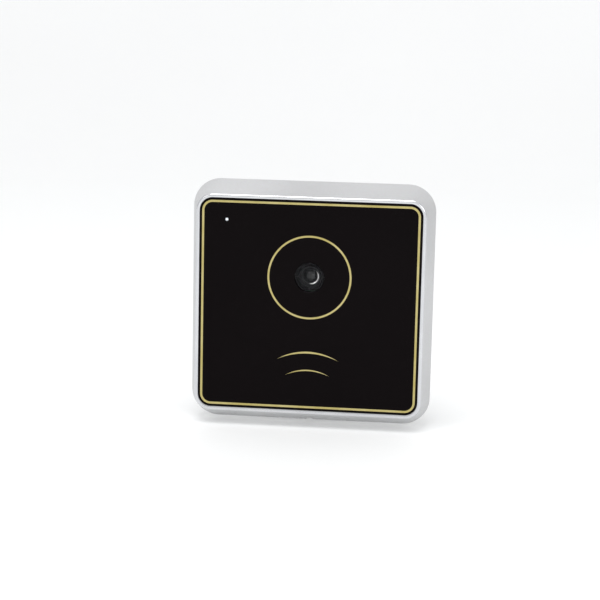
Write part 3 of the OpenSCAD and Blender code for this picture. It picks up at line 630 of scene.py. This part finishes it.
def buildFrame():
    shape = frameShape
    low, high = boxMm("front_frame")
    flangeY = boxMm("rear_housing")[0].y
    seatY = boxMm("panel_adhesive")[1].y
    lipY, backY = low.y, high.y
    wide, tall = high.x, high.z
    recessW = wide - shape["sideFlare"] - shape["lipWidth"]
    recessH = tall - shape["endFlare"] - shape["lipWidth"]
    widestY = backY - shape["backRound"]
    lip = lipSection(shape, lipY)
    outlines = [roundedOutline(*shape["chamber"], flangeY), roundedOutline(*shape["chamber"], seatY)]
    outlines.append(roundedOutline(recessW, recessH, shape["recessRadius"], seatY))
    lipStart = len(outlines)
    for out, y in lip:
        outlines.append(roundedOutline(recessW + out, recessH + out, shape["recessRadius"] + out, y))
    lipEnd = len(outlines) - 1
    sideStart = lip[-1][1]
    lipW = recessW + shape["lipWidth"]
    lipH = recessH + shape["lipWidth"]
    lipR = shape["recessRadius"] + shape["lipWidth"]
    for t in (0.02, 0.06, 0.3, 0.55, 0.8, 0.95, 1.0):
        outlines.append(roundedOutline(
            lipW + t * shape["sideFlare"], lipH + t * shape["endFlare"],
            lipR + t * (shape["backRadius"] - lipR), sideStart + t * (widestY - sideStart)))
    for i in range(1, 7):
        a = math.radians(90 * i / 6)
        inset = shape["backRound"] * (1 - math.cos(a))
        outlines.append(roundedOutline(
            wide - inset, tall - inset, shape["backRadius"] - inset,
            widestY + shape["backRound"] * math.sin(a)))
    wall = shape["backWall"]
    pocket = (wide - wall, tall - wall - 0.1, shape["backRadius"] - wall)
    outlines.append(roundedOutline(*pocket, backY))
    outlines.append(roundedOutline(*pocket, flangeY))
    bm = bmesh.new()
    loft(bm, outlines, closed=True, materialAt=lambda n: 1 if lipStart <= n < lipEnd else 0)
    frameObj = finishMesh(bm, "silverFrame", [made["silver"], made["lip"]])
    # slots for the sound, the microphone hole and the lock screw hole, all through the bottom wall
    cutters = []
    ductY = (boxMm("sensor_board")[1].y + flangeY) / 2
    bottom, top = low.z - 1, -shape["chamber"][1] + 0.5
    duct = roundedSlot(shape["ductWidth"], shape["ductHeight"], shape["ductRound"])
    for n in (-1, 0, 1):
        cutters.append(upright(duct, n * shape["ductStep"], ductY, bottom, top))
    micLow, micHigh = boxMm("microphone")
    mic, screw = shape["micHole"], shape["screwHole"]
    cutters.append(upright(roundedSlot(mic, mic, mic / 2), (micLow.x + micHigh.x) / 2, ductY, bottom, top))
    screwLow, screwHigh = boxMm("lock_screw")
    screwY = (screwLow.y + screwHigh.y) / 2
    cutters.append(upright(roundedSlot(screw, screw, screw / 2), 0, screwY, bottom, -pocket[1] + 0.5))
    cutAway(frameObj, cutters)
    addCatches(frameObj, backY, pocket[1])
    return frameObj


def addCatches(frameObj, backY, wallZ):
    # two bars under the top wall, rounded along their lower edges, that hang on the bracket's hooks
    shape = frameShape
    y1 = backY - shape["catchBack"]
    y0 = y1 - shape["catchThick"]
    r, lower = shape["catchRound"], shape["catchBottom"]
    edge = [(y0, wallZ + 1), (y0, lower + r), (y0 + 0.3 * r, lower + 0.3 * r), (y0 + r, lower)]
    edge += [(y1 - r, lower), (y1 - 0.3 * r, lower + 0.3 * r), (y1, lower + r), (y1, wallZ + 1)]
    bm = bmesh.new()
    bm.from_mesh(frameObj.data)
    for side in (-1, 1):
        ends = [side * shape["catchAt"] + half * shape["catchWidth"] for half in (-0.5, 0.5)]
        known = set(bm.faces)
        loft(bm, [[(x * mm, y * mm, z * mm) for y, z in edge] for x in ends], capped=True)
        bmesh.ops.recalc_face_normals(bm, faces=[face for face in bm.faces if face not in known])
    bm.to_mesh(frameObj.data)
    bm.free()
    frameObj.data.shade_smooth()
    frameObj.data.set_sharp_from_angle(angle=math.radians(35))


def roundedSlot(width, depth, radius, arcSteps=6):
    # outline in the XY plane, with round ends or corners
    points = []
    for sx, sy, start in [(1, 1, 0), (-1, 1, 90), (-1, -1, 180), (1, -1, 270)]:
        for i in range(arcSteps + 1):
            a = math.radians(start + 90 * i / arcSteps)
            p = Vector((sx * (width / 2 - radius) + radius * math.cos(a),
                        sy * (depth / 2 - radius) + radius * math.sin(a), 0))
            if not points or (p - points[-1]).length > 1e-3:
                points.append(p)
    if (points[0] - points[-1]).length < 1e-3:
        points.pop()
    return points


def upright(outline, x, y, z0, z1):
    # prism that stands along Z, used as a cutter
    bm = bmesh.new()
    loft(bm, [[(p.x + x, p.y + y, z) for p in outline] for z in (z0, z1)], capped=True)
    return finishMesh(bm, "cutter", [made["silver"]])


place(buildFrame(), "unit", "frame_silver", "front_frame")
print("built the silver frame")

# Black face plate

plateShape = {
    "radius": 4.45,
    "bevel": 0.25,
    "holeBevel": 0.15,
    "rimStrip": 0.3,           # flat strip inside the bevel that keeps the big face free of false shading
    "lightHole": 0.6,          # radius
    "lightBevel": 0.05,
}


def buildPlate():
    shape = plateShape
    low, high = boxMm("front_panel")
    w, h, r = high.x, high.z, shape["radius"]
    outlines = [roundedOutline(w, h, r, high.y), roundedOutline(w, h, r, low.y + shape["bevel"])]
    for i in range(1, 5):
        a = math.radians(90 * i / 4)
        inset = shape["bevel"] * (1 - math.cos(a))
        y = low.y + shape["bevel"] * (1 - math.sin(a))
        outlines.append(roundedOutline(w - inset, h - inset, r - inset, y))
    flat = shape["bevel"] + shape["rimStrip"]
    outlines.append(roundedOutline(w - flat, h - flat, r - flat, low.y))
    bm = bmesh.new()
    loft(bm, outlines, capped=True)
    plate = finishMesh(bm, "blackFacePlate", [made["black"]])
    cutters = []
    windowLow, windowHigh = boxMm("camera_window")
    holes = [("camera_window", (windowHigh.x - windowLow.x) / 2, shape["holeBevel"]),
             ("light_pipe", shape["lightHole"], shape["lightBevel"])]
    for node, radius, edge in holes:
        holeLow, holeHigh = boxMm(node)
        centre = ((holeLow.x + holeHigh.x) / 2, (holeLow.z + holeHigh.z) / 2)
        wider = radius + edge
        profile = [(radius, high.y + 1), (radius, low.y + edge), (wider, low.y), (wider, low.y - 1)]
        cutters.append(finishMesh(revolve(profile, centre), "cutter", [made["black"]]))
    cutAway(plate, cutters)
    return plate


place(buildPlate(), "unit", "panel_black", "front_panel")
print("built the face plate")

# Gold foil lines

foilShape = {
    "proud": 0.03,             # the stamped foil stands this far above the plate
    "sink": 0.1,
    "borderWidth": 0.75,
    "borderInset": 1.3,
    "edgeGap": 0.4,            # from the middle of the border line to the edge of its groove
    "ringRadius": 14.45,
    "ringWidth": 0.65,
    "arcRadii": (23.0, 16.6),
    "arcCentreZ": -39.4,
    "arcHalfAngle": 28.2,
    "arcWidths": (0.66, 0.46),
}


def foilSection(halfWidth):
    # (across, height) over the foil, slightly crowned
    proud, sink = foilShape["proud"], foilShape["sink"]
    return [(-halfWidth, -sink), (-halfWidth, 0.3 * proud), (-0.8 * halfWidth, 0.85 * proud), (0, proud),
            (0.8 * halfWidth, 0.85 * proud), (halfWidth, 0.3 * proud), (halfWidth, -sink)]


def buildBorder(faceY):
    high = boxMm("gold_border")[1]
    half = foilShape["borderWidth"] / 2
    midW, midH = high.x - foilShape["edgeGap"], high.z - foilShape["edgeGap"]
    midR = frameShape["recessRadius"] - foilShape["borderInset"]
    outlines = [roundedOutline(midW + a, midH + a, midR + a, faceY - h) for a, h in foilSection(half)]
    bm = bmesh.new()
    loft(bm, outlines, closed=True)
    return finishMesh(bm, "goldBorderLine", [made["gold"]])


def buildRing(faceY):
    low, high = boxMm("gold_ring")
    centre = (0, (low.z + high.z) / 2)
    radius, half = foilShape["ringRadius"], foilShape["ringWidth"] / 2
    outlines = [circleOutline(radius + a, faceY - h, centre, 160) for a, h in foilSection(half)]
    bm = bmesh.new()
    loft(bm, outlines, closed=True)
    return finishMesh(bm, "goldCameraRing", [made["gold"]])


def buildArcs(faceY):
    # two crescents, widest in the middle and drawn out to fine tips
    bm = bmesh.new()
    half = math.radians(foilShape["arcHalfAngle"])
    steps = 64
    for radius, widest in zip(foilShape["arcRadii"], foilShape["arcWidths"]):
        outlines = []
        for i in range(steps + 1):
            t = 2 * i / steps - 1
            a = t * half * 0.985    # the tips stop just short of the full angle
            width = widest / 2 * max(1 - t * t, 0.05)
            out = Vector((math.sin(a), 0, math.cos(a)))
            centre = Vector((0, faceY, foilShape["arcCentreZ"]))
            outlines.append([centre + out * (radius + across) + Vector((0, -height, 0))
                             for across, height in foilSection(width)])
        loft(bm, outlines, capped=True)
    return finishMesh(bm, "goldCardArcs", [made["gold"]])


faceY = boxMm("front_panel")[0].y
place(buildBorder(faceY), "unit", "foil_gold", "gold_border")
place(buildRing(faceY), "unit", "foil_gold", "gold_ring")
place(buildArcs(faceY), "unit", "foil_gold", "gold_arcs")
print("built the gold lines")

# Camera window and lens

lensShape = {
    "windowBevel": 0.12,
    "glassRadius": 2.65,
    "domeRadius": 3.3,
    "mouthRadius": 3.6,
    "mouthDepth": 1.45,
    "ridges": 3,               # baffle steps in the mouth
    "threadStart": 1.2,        # from the front of the barrel
    "threadPitch": 0.5,
    "threadDepth": 0.06,
    "ringWidth": 0.46,         # widest part of the clip that holds the glass
    # where the clip's painted highlight crescent is widest, and how far it reaches each way
    "highlightMiddle": -28,         # degrees, anticlockwise from +X as seen from the front
    "highlightHalf": 68,
}


def buildWindow():
    low, high = boxMm("camera_window")
    r, edge = high.x, lensShape["windowBevel"]
    profile = [(r * k, low.y) for k in (0.05, 0.4, 0.8)]
    profile += [(r - edge, low.y), (r, low.y + edge), (r, high.y - edge), (r - edge, high.y)]
    profile += [(r * k, high.y) for k in (0.8, 0.4, 0.05)]
    bm = revolve(profile, (0, (low.z + high.z) / 2))
    return finishMesh(bm, "clearCameraWindow", [made["polishedClearAcrylic"]])


def buildGlass():
    low, high = boxMm("lens_front_glass")
    r, dome = lensShape["glassRadius"], lensShape["domeRadius"]
    profile = []
    for i in range(1, 15):
        radius = r * i / 14
        profile.append((radius, low.y + dome - math.sqrt(dome * dome - radius * radius)))
    profile += [(r, high.y - 0.1), (r - 0.1, high.y), (r * 0.5, high.y), (0.1, high.y)]
    bm = revolve(profile, (0, (low.z + high.z) / 2))
    return finishMesh(bm, "domedLensGlass", [made["coatedLensGlass"]])


def buildBarrel():
    # turned barrel with a thread outside, a seat for the glass, and a mouth with baffle ridges
    low, high = boxMm("lens_barrel")
    shape = lensShape
    centre = (0, (low.z + high.z) / 2)
    outer, glass = high.x, shape["glassRadius"]
    front, back = low.y, high.y
    profile = [(outer - 0.25, front), (outer, front + 0.25)]
    y = front + shape["threadStart"]
    while y < back - 0.4:
        profile += [(outer, y), (outer - shape["threadDepth"], y + 0.12), (outer, y + 0.25)]
        y += shape["threadPitch"]
    profile += [(outer, back), (glass + 0.02, back), (glass + 0.02, back - 1.4), (glass - 1, back - 1.6)]
    profile += [(glass - 1, front + 2.45), (glass + 0.01, front + 2.42), (glass + 0.01, front + 1.62)]
    depth, mouth = shape["mouthDepth"], shape["mouthRadius"]
    inner = glass + shape["ringWidth"] + 0.03
    for n in range(shape["ridges"]):
        t0, t1 = n / shape["ridges"], (n + 1) / shape["ridges"]
        r0 = inner + (mouth - inner) * t0
        r1 = inner + (mouth - inner) * t1
        profile += [(r0, front + depth * (1 - t0)), (r1 - 0.04, front + depth * (1 - t1) + 0.08)]
    profile += [(mouth + 0.05, front + 0.04), (mouth + 0.12, front)]
    bm = bmesh.new()
    loft(bm, [circleOutline(r, y, centre) for r, y in profile], closed=True)
    return finishMesh(bm, "turnedLensBarrel", [made["turnedBlackAnodised"]], 25)


def buildHighlightClip():
    # open spring clip that holds the front glass, shaped and coloured near-white as the lens's bright
    # crescent: a painted highlight on one side
    shape = lensShape
    low, high = boxMm("lens_front_glass")
    centre = Vector((0, low.y + 1.1, (low.z + high.z) / 2))
    inner, steps = shape["glassRadius"] - 0.05, 48
    outlines = []
    for i in range(steps + 1):
        t = 2 * i / steps - 1
        a = math.radians(shape["highlightMiddle"] + shape["highlightHalf"] * t)
        width = shape["ringWidth"] * max((1 - t * t) ** 0.6, 0.15)
        out = Vector((math.cos(a), 0, math.sin(a)))
        front = [(width * k / 4, -width * (0.22 * k / 4 + 0.24 * (k / 4) ** 2)) for k in range(5)]
        section = front + [(width, 0.15), (0, 0.15)]
        outlines.append([centre + out * (inner + across) + Vector((0, depth, 0))
                         for across, depth in section])
    bm = bmesh.new()
    loft(bm, outlines, capped=True)
    return finishMesh(bm, "highlightCrescentClip", [made["paintedHighlightSpringSteel"]])


place(buildWindow(), "unit", "window_clear", "camera_window")
place(buildGlass(), "unit", "lens_glass", "lens_front_glass")
place(buildBarrel(), "unit", "lens_black", "lens_barrel")
place(buildHighlightClip(), "unit", "screw_steel")
print("built the camera")

# Status light

lightShape = {
    "radius": 0.6,
    "dome": 0.08,
}


def buildLight():
    low, high = boxMm("light_pipe")
    centre = ((low.x + high.x) / 2, (low.z + high.z) / 2)
    r, dome = lightShape["radius"], lightShape["dome"]
    profile = []
    for i in range(1, 9):
        t = i / 8
        profile.append((r * t, low.y - dome * (1 - t * t)))
    shoulder = (high.x - low.x) / 2
    step = boxMm("front_panel")[1].y
    profile += [(r, step), (shoulder, step), (shoulder, high.y), (0.1, high.y)]
    bm = revolve(profile, centre, steps=40)
    return finishMesh(bm, "frostedLightPin", [made["light"]])


place(buildLight(), "unit", "light_pipe_clear", "light_pipe")
print("built the status light")

# Tamper spring, built in one shape; the real one flattens as its plunger goes in

springShape = {
    "wire": 0.28,
    "turns": 4,                # the first and last half turn lie flat
    "travel": 1.0,             # how far the plunger pushes it
    "slack": 0.1,
}


def buildSpring():
    shape = springShape
    low, high = boxMm("tamper_spring")
    wire, turns = shape["wire"] / 2, shape["turns"]
    centreX, centreZ = (low.x + high.x) / 2, (low.z + high.z) / 2
    radius = (high.x - low.x) / 2 - wire
    start, length = low.y + wire, high.y - low.y - 2 * wire
    stepsATurn, sides = 24, 10
    outlines = []
    for i in range(stepsATurn * turns + 1):
        turn = i / stepsATurn
        rise = min(max((turn - 0.5) / (turns - 1), 0), 1)
        a = 2 * math.pi * turn
        ring = []
        for k in range(sides):
            b = 2 * math.pi * k / sides
            r = radius + wire * math.cos(b)
            ring.append((centreX + r * math.cos(a), start + rise * length + wire * math.sin(b),
                         centreZ + r * math.sin(a)))
        outlines.append(ring)
    bm = bmesh.new()
    loft(bm, outlines, capped=True)
    spring = finishMesh(bm, "coiledTamperSpring", [made["drawnSpringSteel"]])
    place(spring, "unit", "screw_steel", "tamper_spring")
    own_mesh(spring)


buildSpring()
print("built the tamper spring")

# Parts at the back, with softened edges


def softCopy(node, name, edgeMm, material, chosen=None, segments=3):
    # copy of a CAD node with clean faces and its hard outer edges rounded
    bm = bmesh.new()
    bm.from_mesh(cadNodes[node].data)
    bmesh.ops.scale(bm, vec=(1000, 1000, 1000), verts=bm.verts)
    bmesh.ops.remove_doubles(bm, verts=bm.verts, dist=0.002)
    bmesh.ops.dissolve_limit(bm, angle_limit=math.radians(0.6), verts=bm.verts, edges=bm.edges)
    hard = []
    for edge in bm.edges:
        if len(edge.link_faces) == 2 and edge.is_convex and edge.calc_face_angle(0) > math.radians(40):
            middle = (edge.verts[0].co + edge.verts[1].co) / 2
            if chosen is None or chosen(middle):
                hard.append(edge)
    bmesh.ops.bevel(bm, geom=hard, offset=edgeMm, offset_type="OFFSET", segments=segments, profile=0.5,
                    affect="EDGES", clamp_overlap=True)
    obj = finishMesh(bm, name, [material], 30)
    if "custom_normal" in obj.data.attributes:
        obj.data.attributes.remove(obj.data.attributes["custom_normal"])
    return obj


flangeBack = -4.5
boxSide, boxTop, boxBack = 22.5, 25.5, 19.8    # the outer edges of the rear box lie past these


def onRearBox(p):
    return p.y > flangeBack - 0.2 and (abs(p.x) > boxSide or abs(p.z) > boxTop or p.y > boxBack)


# CAD node, piece, rounding in millimetres, finish, body, slot, and which edges to round
softParts = [
    ("rear_housing", "mouldedRearHousing", 0.35, "sparkErodedBlackAbs", "unit", "housing_black", onRearBox),
    ("wall_bracket", "pressedWallBracket", 0.15, "zinc", "bracket", "bracket_steel", None),
    ("wall_gasket", "foamWallGasket", 0.25, "dieCutEpdmFoam", "unit", "foam_grey", None),
    ("terminal_block", "springTerminalBlock", 0.15, "mouldedGreenPbt", "unit", "terminal_green",
     lambda p: p.y > 18),
    ("lock_screw", "headlessLockScrew", 0.15, "nickelPlatedSteel", "lock_screw", "screw_steel", None),
    ("program_button", "programButtonCap", 0.2, "mouldedWhiteAcetal", "program_button", "button_white",
     None),
    ("tamper_plunger", "tamperPlungerPin", 0.25, "mouldedWhiteAcetal", "tamper_plunger", "button_white",
     None),
]
for number in (1, 2, 3, 4):
    softParts.append((f"terminal_lever_{number}", f"terminalLever{number}", 0.25, "mouldedOrangePbt",
                      f"terminal_lever_{number}", "lever_orange", None))
for node, name, edgeMm, finish, body, slotName, chosen in softParts:
    place(softCopy(node, name, edgeMm, made[finish], chosen), body, slotName, node)
print("softened", len(softParts), "parts at the back")

# Floor, lights and camera

setShape = {
    "floorDrop": 0.9,          # the lower edge stands just clear of the table
    "floorColour": ("#DEDFDF", "#E2E3E3"),
    "floorRoughness": (0.42, 0.5),
    "floorCloudMm": 180,
    "floorGlow": 0.23,
    "bend": 300,               # radius of the sweep behind the object
    "reach": 700,              # where the sweep starts
    "far": 6000,               # how far the table runs to the front and the sides
    "worldColour": "#FDFDFE",
    "worldStrength": 0.81,
    "cameraPlace": (64.36, -583.58, 104.88),    # from the middle of the face, in millimetres
    "forward": (-0.11314, 0.97857, -0.17206),
    "up": (-0.04144, 0.16837, 0.98485),
    "lens": 102.2,
}


def buildFloor():
    # pale sweep that curves up far behind the object
    floorZ = boxMm("front_frame")[0].z - setShape["floorDrop"]
    bend, reach, far = setShape["bend"], setShape["reach"], setShape["far"]
    path = [(-far, 0), (-1500, 0), (-300, 0), (0, 0), (300, 0), (reach, 0)]
    for i in range(1, 13):
        a = math.radians(90 * i / 12)
        path.append((reach + bend * math.sin(a), bend * (1 - math.cos(a))))
    path += [(reach + bend, 800), (reach + bend, 1600)]
    bm = bmesh.new()
    rows = [[bm.verts.new((x, y, floorZ + z)) for x in (-far, -1000, 0, 1000, far)] for y, z in path]
    for a, b in zip(rows, rows[1:]):
        for i in range(4):
            bm.faces.new((a[i], a[i + 1], b[i + 1], b[i]))
    # Opal acrylic sheet lit from below: pale, and its glow keeps the shadows soft
    material, tree, shader, where = newMaterial("backlitOpalAcrylic", {
        "Specular IOR Level": 0.2, "Emission Color": toLinear("#FFFFFF"),
        "Emission Strength": setShape["floorGlow"]})
    cloud = addNode(tree, "ShaderNodeTexNoise", inputs={
        "Vector": where, "Scale": perMm(setShape["floorCloudMm"])})
    dress(tree, shader, cloud.outputs["Fac"], setShape["floorColour"], setShape["floorRoughness"],
          span=(0, 1))
    side = addNode(tree, "ShaderNodeNewGeometry").outputs["Backfacing"]
    clear = addNode(tree, "ShaderNodeBsdfTransparent")
    both = addNode(tree, "ShaderNodeMixShader", inputs={
        0: side, 1: shader.outputs["BSDF"], 2: clear.outputs["BSDF"]})
    tree.links.new(both.outputs["Shader"], tree.nodes["Material Output"].inputs["Surface"])
    floor = finishMesh(bm, "studioFloor", [material])
    if floor.data.polygons[0].normal.z < 0:
        floor.data.flip_normals()


buildFloor()

lamps = {
    # name: (place, target, size of a side, watts)
    "keyLamp": ((-380, -600, 400), (0, 0, 0), 180, 0.3),
    "fillLamp": ((330, -600, 200), (20, 0, -20), 180, 0.5),
    "topLamp": ((-60, -360, 860), (0, -40, 0), 520, 3.7),
}


def softBox(name, where, target, size, power):
    # square lamp that points at a place; sizes in millimetres
    lamp = bpy.data.lights.new(name, "AREA")
    lamp.shape = "SQUARE"
    lamp.size = size * mm
    lamp.energy = power
    obj = bpy.data.objects.new(name, lamp)
    obj.location = Vector(where) * mm
    obj.rotation_mode = "QUATERNION"
    obj.rotation_quaternion = (Vector(target) * mm - obj.location).to_track_quat("-Z", "Y")
    bpy.context.scene.collection.objects.link(obj)


for name, settings in lamps.items():
    softBox(name, *settings)

world = bpy.data.worlds.new("paleStudio")
world.use_nodes = True
world.node_tree.nodes["Background"].inputs["Color"].default_value = toLinear(setShape["worldColour"])
world.node_tree.nodes["Background"].inputs["Strength"].default_value = setShape["worldStrength"]
bpy.context.scene.world = world

camera = bpy.data.cameras.new("studioCamera")
camera.lens = setShape["lens"]
camera.sensor_width = 36
camera.clip_start = 0.01
camera.clip_end = 50
cameraObj = bpy.data.objects.new("studioCamera", camera)
bpy.context.scene.collection.objects.link(cameraObj)
forward = Vector(setShape["forward"]).normalized()
upward = Vector(setShape["up"])
right = forward.cross(upward).normalized()
upward = right.cross(forward)
faceMiddle = Vector((0, faceY, 0))
turned = Matrix((right, upward, -forward)).transposed().to_4x4()
cameraObj.matrix_world = Matrix.Translation((faceMiddle + Vector(setShape["cameraPlace"])) * mm) @ turned
bpy.context.scene.camera = cameraObj
bpy.context.scene.view_settings.view_transform = "Standard"
print("placed the floor, lights and camera")
